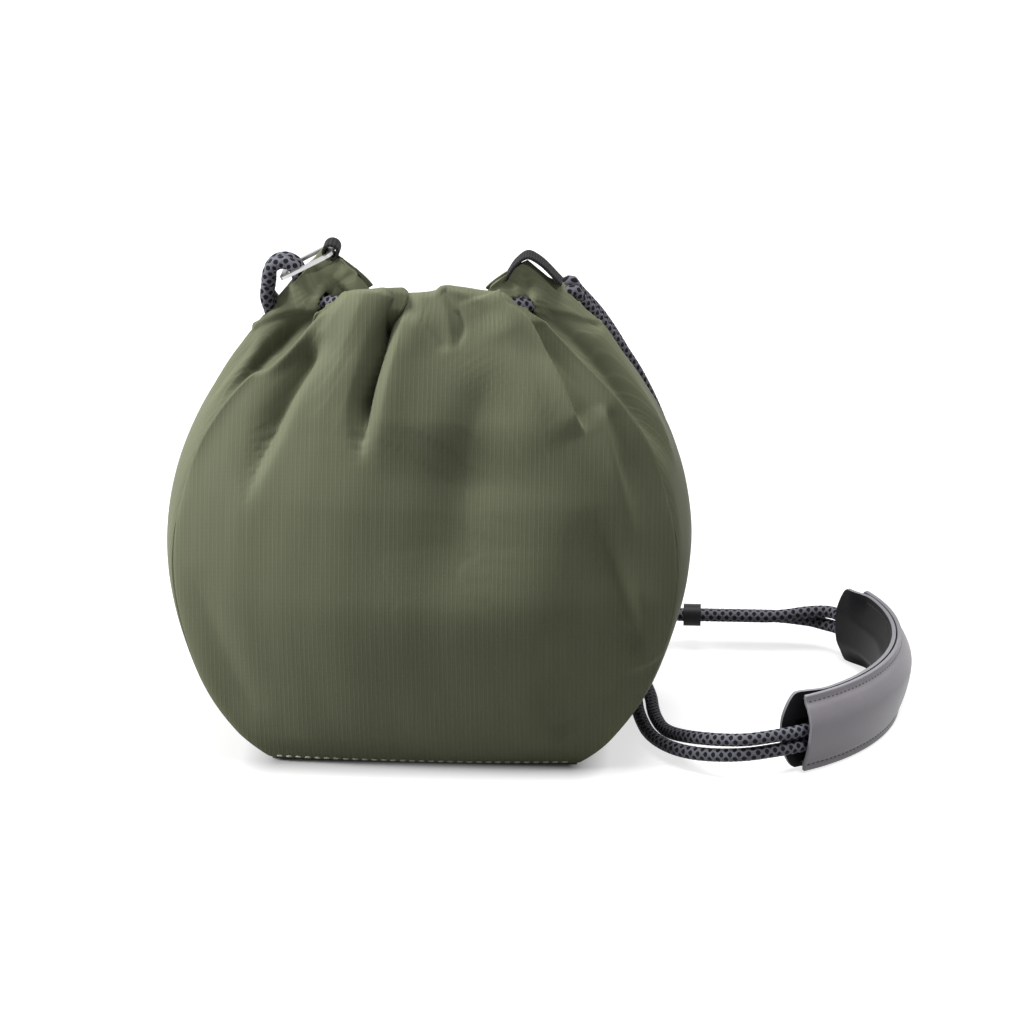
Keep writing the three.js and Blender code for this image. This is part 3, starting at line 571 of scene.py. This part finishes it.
for side_name, way, tip, creases in (("left", -1, left_tip, left_creases),
                                     ("right", 1, right_tip, right_creases)):
    piece, points = cloth_grid(side_name + "_gusset_cloth", 110, 230, gusset_shape(way, tip))
    normals = grid_normals(points)
    rows, columns = grid_shares(points)
    edge_run = -smooth_line(seam_line, rows[:, 0])[:, 1][:, None] * (1 - np.abs(columns))
    lift = ripple(points, 5 + way, 1.5)
    for line, *form in creases:
        lift += fold(points, normals, [(way * t, v) for t, v in line], *form)
        lift += 0.7 * fold(points, normals, [(-way * t, v) for t, v in line], *form)
    lift = lift * ease(rows / 0.06) * mix(0.6, 1, ease(edge_run / 4)) * mix(1, 0.4, ease((rows - 0.97) / 0.03))
    lift -= seam_pull(edge_run, rows)
    slack[side_name] = lift
    points = points + normals * lift[..., None]
    for side in (-way, way):
        under = (walls[side] - sewn_under * grid_normals(walls[side]))[:, 3 if side == way else -4]
        under = points_at(under, np.arange(len(under)), rows[:, 0] * hem_from * (len(under) - 1))
        sewn = np.exp(-((edge_run / 2) ** 2)) * ease((rows - 0.5) / 0.1) * ease((0.93 - rows) / 0.05)
        sewn = sewn * (columns * way * side > 0)
        points = mix(points, under[:, None, :], sewn[..., None])
    for cord, front in (("hem_cord_front", -1), ("hem_cord_back", 1)):
        line = rope_lines[cord][::2]
        line = line[(way * line[:, 0] > 43) & (way * line[:, 0] < 60)]
        gap = np.full(points.shape[:2], 1e9)
        cover = np.zeros(points.shape[:2])
        for p in line:
            d = np.hypot(points[..., 0] - p[0], points[..., 2] - p[2])
            closer = d < gap
            gap[closer] = d[closer]
            cover[closer] = p[1] + front * rope_cover
        hide = np.exp(-((np.maximum(gap - 1.5, 0) / 4.5) ** 2)) * ease((way * points[..., 0] - 42) / 4)
        pushed = mix(points[..., 1], cover, hide * (np.sign(points[..., 1]) == front))
        points[..., 1] = np.where(front * (pushed - points[..., 1]) > 0, pushed, points[..., 1])
    near_rope = np.full(points.shape[:2], 1e9)
    for line in rope_lines.values():
        for p in line[::3]:
            near_rope = np.minimum(near_rope, np.sum((points - p) ** 2, axis=-1))
    settle(piece, points, olive, cloth_thickness, cloth_spread(points, 1), near_rope < eyelet_radius**2)
    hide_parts(side_name + "_gusset")
    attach(piece, "pouch")

# Padding in the walls
# A sheet of soft dark foam lies behind each wall's cloth. It is caught in the side seams and ends below the
# gathered part.
foam, tree, skin = finish("grey_foam", {"Roughness": 0.95})
cells = add(tree, "ShaderNodeTexVoronoi", {"Vector": own_place(tree), "Scale": 900}).outputs["Distance"]
two_tones(tree, skin, cells, (0.03, 0.03, 0.03), (0.055, 0.055, 0.055))
relief(tree, skin, cells, 1.0, 0.0003)
layer_low, layer_high = 2 / 16, 13 / 16
wall_sides = {"front": -1, "back": 1}
ear_sides = {"left": (-1, left_tip), "right": (1, right_tip)}


def layer_shape(wall_name, depth):
    """A sheet that lies the given depth inside one wall."""
    def shape(s, r):
        v = mix(layer_low, layer_high, r)
        if wall_name in wall_sides:
            side = wall_sides[wall_name]
            return wall_at(side, -side * s * 0.995, v, depth)
        way, tip = ear_sides[wall_name]
        return flank_at(way, way * s * 0.99, v, tip, depth)
    return shape


def follow(wall_name, points):
    """Moves a layer inwards where the cloth in front of it is folded in."""
    field = np.minimum(slack[wall_name], 0)
    for _ in range(3):
        field = np.minimum(field, np.minimum(np.roll(field, 1, axis=1), np.roll(field, -1, axis=1)))
    share = hem_from if wall_name in wall_sides else 1
    last_row, last_column = field.shape[0] - 1, field.shape[1] - 1
    row = np.linspace(layer_low * share, layer_high * share, points.shape[0]) * last_row
    column = np.linspace(0, last_column - 0.001, points.shape[1])
    return points + grid_normals(points) * between(field[..., None], row[:, None], column[None, :]) * 1.1


for wall_name in ("front", "back", "left", "right"):
    piece, points = cloth_grid(wall_name + "_foam", 80, 80, layer_shape(wall_name, 2.5))
    points = follow(wall_name, points)
    settle(piece, points, foam, 2.8, cloth_spread(points, 0 if wall_name in wall_sides else 1))
    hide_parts(wall_name + "_padding")
    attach(piece, "pouch")

# Lining
# Plain dark cloth inside the foam, a little slack, sewn in below the hem and at the base.
lining_cloth = woven_cloth("dark_lining", (0.032, 0.034, 0.036), (0.06, 0.063, 0.066), 0.0012, 0.75, 0.1)
for wall_name in ("front", "back", "left", "right"):
    piece, points = cloth_grid(wall_name + "_lining_cloth", 90, 90, layer_shape(wall_name, 6.9))
    points = follow(wall_name, points)
    rim = np.linspace(0, 1, 91)
    held = ease(rim / 0.1) * ease((1 - rim) / 0.1)
    loose = ripple(points, 21, 2.2) * held[:, None] * held[None, :]
    points = points + grid_normals(points) * loose[..., None]
    settle(piece, points, lining_cloth, 0.6, cloth_spread(points, 0 if wall_name in wall_sides else 1))
    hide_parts(wall_name + "_lining")
    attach(piece, "pouch")

# Base
# A cloth panel under a stiff board, with foam and lining on top, all cut to the same plan and sewn to the
# lower edges of the walls.
base_inset = 1.7


def base_shape(z, dome):
    def shape(s, r):
        q = 2 * r - 1
        x, y, _, bulge, _, flank, _ = stations[0]
        hx = x - base_inset + flank / 2 * (1 - q * q)
        hy = -y - base_inset + bulge / 2 * (1 - s * s)
        return np.stack([hx * s, hy * q, z + dome * np.cos(s * np.pi / 2) * np.cos(q * np.pi / 2)], -1)
    return shape


for name, node, z, thickness, dome, cloth, slot in (
    ("base_cloth", "base_panel", 1.2, 1.2, 0, olive, "olive_cloth"),
    ("base_foam", "base_padding", 6.9, 2.8, 0.1, foam, "padding"),
    ("base_lining_cloth", "base_lining", 8.0, 0.5, 0.2, lining_cloth, "lining"),
):
    piece, points = cloth_grid(name, 60, 44, base_shape(z, dome))
    settle(piece, points, cloth, thickness, points[..., :2])
    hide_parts(node)
    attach(piece, "pouch")

# Base board
# Cut from black plastic sheet and laid on the base cloth. It is seen only where the layers part, so it keeps
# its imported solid.
board, tree, skin = finish("board_plastic", {"Roughness": 0.55})
grain = noise(tree, own_place(tree), 700)
two_tones(tree, skin, grain, (0.018, 0.018, 0.018), (0.035, 0.035, 0.035))


def dress(node, material):
    """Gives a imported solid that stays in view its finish."""
    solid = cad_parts[node]
    solid.data.materials.clear()
    solid.data.materials.append(material)
    return solid


dress("base_board", board)


# Stitching round the base
# A row of short stitches in pale olive thread just above the base edge, on all four walls, which closes the
# seam between walls and base.
def thread_finish(name, low, high, rough):
    thread, tree, skin = finish(name, {"Roughness": rough})
    twist = add(tree, "ShaderNodeTexWave", {"Vector": own_place(tree), "Scale": 900},
                bands_direction="DIAGONAL")
    two_tones(tree, skin, twist.outputs["Fac"], low, high)
    return thread


def stitch_rows(name, rows_of_stitches, thickness, thread):
    """Each stitch is one small rounded bar from start to end, pressed a little into the surface."""
    bpy.ops.mesh.primitive_uv_sphere_add(segments=8, ring_count=6, radius=1, location=(0, 0, 0))
    piece = bpy.context.object
    piece.name = name
    ball = np.array([v.co[:] for v in piece.data.vertices])
    faces = [list(p.vertices) for p in piece.data.polygons]
    verts, polys = [], []
    for start, end, normal in rows_of_stitches:
        start, end, normal = (np.asarray(q, float) for q in (start, end, normal))
        way = unit(end - start)
        normal = unit(normal - way * (normal @ way))
        body = (start + end) / 2 + ball[:, 2:] * (end - start) / 2
        body += ball[:, :1] * np.cross(way, normal) * thickness / 2 + ball[:, 1:2] * normal * thickness * 0.4
        polys += [[i + len(verts) * len(ball) for i in f] for f in faces]
        verts.append(body / 1000)
    piece.data.clear_geometry()
    piece.data.from_pydata(np.concatenate(verts).tolist(), [], polys)
    piece.data.materials.append(thread)
    bpy.ops.object.shade_smooth()
    bpy.ops.object.mode_set(mode="EDIT")
    bpy.ops.mesh.select_all(action="SELECT")
    bpy.ops.mesh.normals_make_consistent(inside=False)
    bpy.ops.object.mode_set(mode="OBJECT")
    return piece


seam_height, stitch_length, stitch_pitch, stitch_proud = 0.016, 2.8, 4.1, 0.3
across, deep = np.linspace(-0.93, 0.93, 320), np.linspace(-0.93, 0.93, 240)
stitches = []
for line, outward in (
    *((wall_at(side, across, np.full_like(across, seam_height)), (0, side, -0.3)) for side in (-1, 1)),
    *((flank_at(way, deep, np.full_like(deep, seam_height), left_tip), (way, 0, -0.3)) for way in (-1, 1)),
):
    line = line + stitch_proud * np.array((*outward[:2], 0))
    run = run_along(line)
    for k in np.arange(0.6, run[-1] - 2.9, stitch_pitch):
        stitches.append((*points_at(line, run, (k, k + stitch_length)), outward))
olive_thread = thread_finish("olive_thread", (0.3, 0.31, 0.24), (0.44, 0.45, 0.37), 0.7)
piece = stitch_rows("base_stitching", stitches, 1.0, olive_thread)
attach(piece, "pouch")

# Rope
# A round braid of charcoal yarn. The small black diamonds between its strands are painted shade in the hollows
# of the braid, and the paler rims round them a painted highlight. Each stretch is a tube whose rings are the
# rows of the braid; the drawcords lie in the hems, the strands go on from them as the strap.
braid, tree, skin = finish("charcoal_braid", {"Roughness": 0.7, "Specular IOR Level": 0.12})
split = add(tree, "ShaderNodeSeparateXYZ", {0: add(tree, "ShaderNodeUVMap").outputs[0]})
waves = [reckon(tree, "COSINE", reckon(tree, "MULTIPLY", split.outputs[axis], 2 * math.pi))
         for axis in ("X", "Y")]
spots = reckon(tree, "ABSOLUTE", reckon(tree, "ADD", *waves))
floats = add(tree, "ShaderNodeMapRange", {"Value": spots, "From Min": 2, "From Max": 0}).outputs[0]


def tone_ramp(tree, share, first, last, stops):
    """A colour ramp with the tones of its ends and of the stops between them."""
    ramp = add(tree, "ShaderNodeValToRGB", {"Fac": share})
    elements = ramp.color_ramp.elements
    elements[0].color, elements[1].color = (*first, 1), (*last, 1)
    for place, tone in stops:
        elements.new(place).color = (*tone, 1)
    return ramp.outputs["Color"]


# The black here is painted shade in the braid's hollows, and the pale stop at 0.66 a painted highlight on the
# strand rims; the other tones are the charcoal yarn.
hollow_shade_black = (0.004, 0.004, 0.005)
yarn = tone_ramp(tree, floats, hollow_shade_black, (0.14, 0.14, 0.165),
                 ((0.5, hollow_shade_black), (0.66, (0.16, 0.16, 0.19)), (0.85, (0.1, 0.1, 0.12))))
tree.links.new(yarn, skin.inputs["Base Color"])
fibre = noise(tree, own_place(tree), 2600)
relief(tree, skin, reckon(tree, "MULTIPLY_ADD", fibre, 0.5, floats), 0.7, 0.00025)
rope_radius = 2.85
yarns_round, yarns_in_spot, row_share = 16, 4, 0.29


def braided_rope(name, line):
    way = unit(np.gradient(line, axis=0))
    aside = np.zeros_like(line)
    side = np.cross(way[0], (0.3, 0.5, 0.8))
    for k in range(len(line)):
        side = unit(side - way[k] * (side @ way[k]))
        aside[k] = side
    other = np.cross(way, aside)
    u = np.arange(yarns_round) / yarns_in_spot
    w = np.arange(len(line))[:, None] * row_share
    r = rope_radius * (1 + 0.04 * np.cos(2 * np.pi * (u + w)) * np.cos(2 * np.pi * (u - w)))
    a = 2 * np.pi * np.arange(yarns_round) / yarns_round
    verts = line[:, None] + (r * np.cos(a))[..., None] * aside[:, None]
    verts = verts + (r * np.sin(a))[..., None] * other[:, None]
    quads, maps = [], []
    for k in range(len(line) - 1):
        for q in range(yarns_round):
            corners = ((q, k), (q + 1, k), (q + 1, k + 1), (q, k + 1))
            quads.append([row * yarns_round + column % yarns_round for column, row in corners])
            maps += [(column / yarns_in_spot, row * row_share) for column, row in corners]
    quads.append(list(range(yarns_round - 1, -1, -1)))
    quads.append([(len(line) - 1) * yarns_round + q for q in range(yarns_round)])
    maps += [(0, 0)] * (2 * yarns_round)
    mesh = bpy.data.meshes.new(name)
    mesh.from_pydata((verts.reshape(-1, 3) / 1000).tolist(), [], quads)
    mesh.uv_layers.new(name="UVMap").data.foreach_set("uv", np.array(maps).reshape(-1))
    mesh.materials.append(braid)
    mesh.polygons.foreach_set("use_smooth", np.ones(len(mesh.polygons), bool))
    piece = bpy.data.objects.new(name, mesh)
    bpy.context.collection.objects.link(piece)
    return piece


ropes = {}
for name, node in (("strap_strand_front", "strap_rope_front"), ("strap_strand_back", "strap_rope_back"),
                   ("hem_cord_front", "front_drawcord"), ("hem_cord_back", "back_drawcord")):
    ropes[name] = braided_rope(name, rope_lines[name])
    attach(ropes[name], "pouch")
    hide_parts(node)

# Webbing loops on the ears
# Black ribbed webbing: at the left it is folded round the bar of the ring and sewn into the ear, at the
# right it arches over the tip of the ear.
webbing, tree, skin = finish("black_webbing", {"Roughness": 0.7, "Specular IOR Level": 0.1})
ribs = add(tree, "ShaderNodeTexWave", {"Vector": add(tree, "ShaderNodeUVMap").outputs[0], "Scale": 260,
                                       "Distortion": 0.4}, bands_direction="Y").outputs["Fac"]
two_tones(tree, skin, ribs, (0.006, 0.006, 0.006), (0.02, 0.02, 0.02))
relief(tree, skin, ribs, 0.6, 0.0002)
webbing_thickness, webbing_half = 1.2, 5.4
ring_bar, bar_tilt = (-41, 216), 0.3
hole = math.hypot(1.4, 0.7) + 0.3
bend = hole + 0.65
loop = [(-0.75, -hole - 12), (-0.75, -hole - 6), (-0.9, -hole - 1.6)]
loop += [(bend * math.sin(a), -bend * math.cos(a)) for a in np.radians(np.linspace(-28, -332, 15))]
loop += [(0.9, -hole - 1.6), (0.75, -hole - 6), (0.75, -hole - 12)]
loop = np.array([(ring_bar[0] + x * math.cos(bar_tilt) + z * math.sin(bar_tilt), 0,
                  ring_bar[1] - x * math.sin(bar_tilt) + z * math.cos(bar_tilt)) for x, z in loop])
arch = np.array([(-9.5, 0, -7.5), (-5.2, 0, -0.8), (0, 0, 2.9), (5.5, 0, 0.5), (15, 0, -9)], float)
arch = arch + (right_tip[0], 0, right_tip[1])


def ribbon_shape(line, inward, narrowing):
    """A ribbon along a line; narrowing draws in its two tails."""
    path = even_steps(line, 0.05)

    def shape(s, r):
        half = webbing_half - narrowing * ease((np.abs(r - 0.5) - 0.16) / 0.12)
        return path[(r * (len(path) - 1)).astype(int)] + np.stack([0 * s, inward * s * half, 0 * s], -1)
    return shape


for name, node, shape in (("ring_webbing", "left_webbing_loop", ribbon_shape(loop, 1, 4.4)),
                          ("ear_webbing", "right_webbing_loop", ribbon_shape(arch, -1, 0))):
    piece, points = cloth_grid(name, 14, 120, shape)
    spread = cloth_spread(points, 1)
    spread[..., 1] = spread[:, [7], 1]
    settle(piece, points, webbing, webbing_thickness, spread)
    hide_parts(node)
    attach(piece, "pouch")

# Ring on the left ear
# An oblong steel ring, satin brushed, that hangs in the webbing loop and holds the bight of the rope. Its
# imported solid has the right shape.
steel, tree, skin = finish("brushed_steel", {"Base Color": (0.5, 0.5, 0.5, 1), "Metallic": 1})
drawn = add(tree, "ShaderNodeMapping", {"Vector": own_place(tree), "Scale": (300, 5000, 300)})
brush = noise(tree, drawn.outputs[0], 1)
gloss = add(tree, "ShaderNodeMapRange", {"Value": brush, "To Min": 0.22, "To Max": 0.42})
tree.links.new(gloss.outputs[0], skin.inputs["Roughness"])
dress("strap_ring", steel)

# Keeper on the strap
# A short black moulded sleeve that slides along the strap, with a bore for each strand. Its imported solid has
# the right shape.
moulded, tree, skin = finish("black_moulded_plastic", {"Roughness": 0.5, "Specular IOR Level": 0.15})
spark = noise(tree, own_place(tree), 1500)
two_tones(tree, skin, spark, (0.006, 0.006, 0.006), (0.014, 0.014, 0.014))
relief(tree, skin, spark, 0.3, 0.0001)
keeper = dress("strap_keeper", moulded)


# Shoulder pad
# Two layers of leather sewn together along both edges: a dark inner one whose rounded tongues reach out
# at the ends, and a grey outer one that bulges over the two strands. The cut edges are painted.
def leather(name, low, high, rough, coat, specular):
    hide, tree, skin = finish(name, {"Coat Weight": coat, "Coat Roughness": 0.35,
                                     "Specular IOR Level": specular})
    place = own_place(tree)
    pores = add(tree, "ShaderNodeTexVoronoi", {"Vector": place, "Scale": 1300}).outputs["Distance"]
    cloud = noise(tree, place, 60, 6)
    two_tones(tree, skin, cloud, low, high)
    gloss = add(tree, "ShaderNodeMapRange", {"Value": cloud, "To Min": rough - 0.06, "To Max": rough + 0.1})
    tree.links.new(gloss.outputs[0], skin.inputs["Roughness"])
    relief(tree, skin, pores, 0.25, 0.00015)
    return hide


outer_hide = leather("grey_leather", (0.165, 0.155, 0.171), (0.215, 0.203, 0.223), 0.38, 0.1, 0.3)
inner_hide = leather("dark_leather", (0.008, 0.0075, 0.0085), (0.014, 0.013, 0.015), 0.45, 0.0, 0.1)
edge_paint = leather("pad_edge_paint", (0.16, 0.155, 0.17), (0.22, 0.215, 0.235), 0.45, 0.1, 0.5)
hide_thickness = 2
pad_face = pad_radius - 2.9 - 0.9
pad_low, pad_width = 0.5, 35
front_end, back_end = -58, 34  # degrees round the middle of the arc
seam_gap = 4.5  # between the two leathers where they are flat
ridge_height = 0.62


def end_round(v):
    return np.sqrt(1 - (2 * v - 1) ** 2 * 0.98)


def outer_shape(s, v):
    a = np.radians(mix(front_end, back_end - 4 + 4 * end_round(v), (s + 1) / 2))
    ridge = np.where(v < ridge_height, (ridge_height - v) / 0.56, (v - ridge_height) / 0.32)
    crown = ease((v - 0.06) / 0.08) * ease((0.94 - v) / 0.08) * (1 - np.abs(ridge) ** 1.7)
    return round_pad(pad_face + 0.4 + hide_thickness + mix(seam_gap, 9.4, crown), a, pad_low + pad_width * v)


def inner_shape(s, v):
    tongue = 5 * end_round(v)
    turn = mix(front_end - tongue, back_end + tongue, (1 - s) / 2)
    within = np.minimum(turn - front_end, back_end - turn) / 9
    fullness = ease((v - 0.06) / 0.2) * ease((0.94 - v) / 0.34)
    r = pad_face - hide_thickness + seam_gap * mix(0.3, 1, ease(within)) * (1 - fullness)
    return round_pad(r, np.radians(turn), pad_low + pad_width * v)


for name, node, shape, hide, slot in (
    ("pad_outer_leather", "pad_outer", outer_shape, outer_hide, "leather_outer"),
    ("pad_inner_leather", "pad_inner", inner_shape, inner_hide, "leather_inner"),
):
    piece, points = cloth_grid(name, 150, 44, shape)
    piece.data.vertices.foreach_set("co", (points / 1000).reshape(-1))
    piece.data.materials.append(hide)
    piece.data.materials.append(edge_paint)
    thicken(piece, hide_thickness, rim_material=1)
    worn = piece.modifiers.new("rounding", "BEVEL")
    worn.width = 0.0005
    worn.segments = 2
    worn.limit_method = "ANGLE"
    worn.angle_limit = math.radians(50)
    bpy.ops.object.modifier_apply(modifier="rounding")
    bpy.ops.object.shade_smooth()
    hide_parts(node)
    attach(piece, "pad")

# Stitching of the pad
# Two rows of dark grey thread, each close to a long edge, through both layers of leather.
pad_thread = thread_finish("grey_thread", (0.02, 0.02, 0.022), (0.05, 0.05, 0.055), 0.65)
stitches = []
for share in (0.085, 0.915):
    height = pad_low + pad_width * share
    for first in np.arange(-57.2, 30.5, 1.5):
        for r, push in ((pad_face + 6.9, 1), (pad_face + 2.5, -1)):
            ends = [round_pad(r, math.radians(turn), height) for turn in (first, first + 1.0)]
            middle = math.radians(first + 0.5)
            stitches.append((*ends, (push * math.cos(middle), push * math.sin(middle), 0)))
piece = stitch_rows("pad_stitching", stitches, 0.85, pad_thread)
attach(piece, "pad")

# Length of the strap strands
# Each strand leaves the right ear, lies round the pad and behind the pouch, and goes back to the ring; the pad
# and the keeper are threaded on the pair. The length of each strand in metres is worked out here and not kept.
for name in ("strap_strand_front", "strap_strand_back"):
    line = rope_lines[name]
    round(float(run_along(line)[-1]) / 1000, 3)


# Floor, light and camera
# A pale floor whose glow drops towards the base, which paints a shade round the base; farther out it glows
# white and keeps the cast shadows. A soft key from the left, a weak fill from the right and a soft one above
# light the whole; three narrow spots brighten the ears and the pad.
def seen_straight(tree):
    """1 for what the camera or a reflection sees, else 0."""
    rays = add(tree, "ShaderNodeLightPath").outputs
    return reckon(tree, "MAXIMUM", rays["Is Camera Ray"], rays["Is Glossy Ray"])


white, tree, skin = finish("white_floor", {"Base Color": (0.38, 0.38, 0.38, 1), "Roughness": 0.9,
                                           "Specular IOR Level": 0.0, "Emission Color": (1, 1, 1, 1)})
# The floor's glow is low at the base's edge and rises with the distance from it, which paints a shade round the
# base.
out_of_base = add(tree, "ShaderNodeVectorMath", {0: own_place(tree)}, operation="ABSOLUTE").outputs[0]
for operation, amount in (("SUBTRACT", (0.062, 0.045, 0)), ("MAXIMUM", (0, 0, 0))):
    out_of_base = add(tree, "ShaderNodeVectorMath", {0: out_of_base, 1: amount}, operation=operation).outputs[0]
gap = add(tree, "ShaderNodeVectorMath", {0: out_of_base}, operation="LENGTH").outputs["Value"]
reach = add(tree, "ShaderNodeMapRange", {"Value": gap, "From Max": 0.5}).outputs[0]
glow_with_painted_shade = tone_ramp(tree, reach, (0.02,) * 3, (0.9,) * 3,
                   ((0.012, (0.3,) * 3), (0.035, (0.66,) * 3), (0.08, (0.74,) * 3)))
tree.links.new(reckon(tree, "MULTIPLY", seen_straight(tree), glow_with_painted_shade), skin.inputs["Emission Strength"])
bpy.ops.mesh.primitive_plane_add(size=14, location=(0, 0, -0.0004))
floor = bpy.context.object
floor.name = "floor"
floor.data.materials.append(white)

world = bpy.data.worlds.new("studio")
bpy.context.scene.world = world
world.use_nodes = True
tree = world.node_tree
sky = tree.nodes["Background"]
sky.inputs["Color"].default_value = (1, 1, 1, 1)
level = add(tree, "ShaderNodeMapRange", {"Value": seen_straight(tree), "To Min": 0.05, "To Max": 1.0})
tree.links.new(level.outputs[0], sky.inputs["Strength"])


def hang_lamp(kind, name, spot, aim, power):
    bpy.ops.object.light_add(type=kind, location=spot)
    lamp = bpy.context.object
    lamp.name = name
    lamp.data.energy = power
    lamp.rotation_euler = (Vector(aim) - Vector(spot)).to_track_quat("-Z", "Y").to_euler()
    return lamp.data


for name, spot, size, power in (("key", (-1.75, -0.3, 0.95), 0.5, 52), ("fill", (1.4, -1.2, 0.9), 1.0, 3),
                                ("top", (0.1, 0.2, 1.9), 1.0, 42)):
    hang_lamp("AREA", name, spot, (0.03, 0, 0.1), power).size = size
for name, spot, aim, cone, power in (
    ("right_ear_lamp", (0.7, -1.3, 1.2), (0.062, -0.012, 0.196), 4.0, 50),
    ("pad_lamp", (0.6, -0.6, 1.9), (0.19, -0.035, 0.03), 5.0, 95),
    ("left_ear_lamp", (-0.3, -1.5, 1.1), (-0.04, -0.003, 0.213), 2.1, 80),
):
    lamp = hang_lamp("SPOT", name, spot, aim, power)
    lamp.spot_size = math.radians(cone)
    lamp.spot_blend = 1.0
    lamp.shadow_soft_size = 0.015

az, el, away = math.radians(3), math.radians(20), 1.65
aim = Vector((0.0355, 0, 0.099))
eye = aim + away * Vector((math.sin(az) * math.cos(el), -math.cos(az) * math.cos(el), math.sin(el)))
bpy.ops.object.camera_add(location=eye, rotation=(aim - eye).to_track_quat("-Z", "Y").to_euler())
camera = bpy.context.object
camera.data.lens = 134
camera.data.sensor_width = 36
bpy.context.scene.camera = camera
bpy.context.scene.view_settings.view_transform = "Standard"
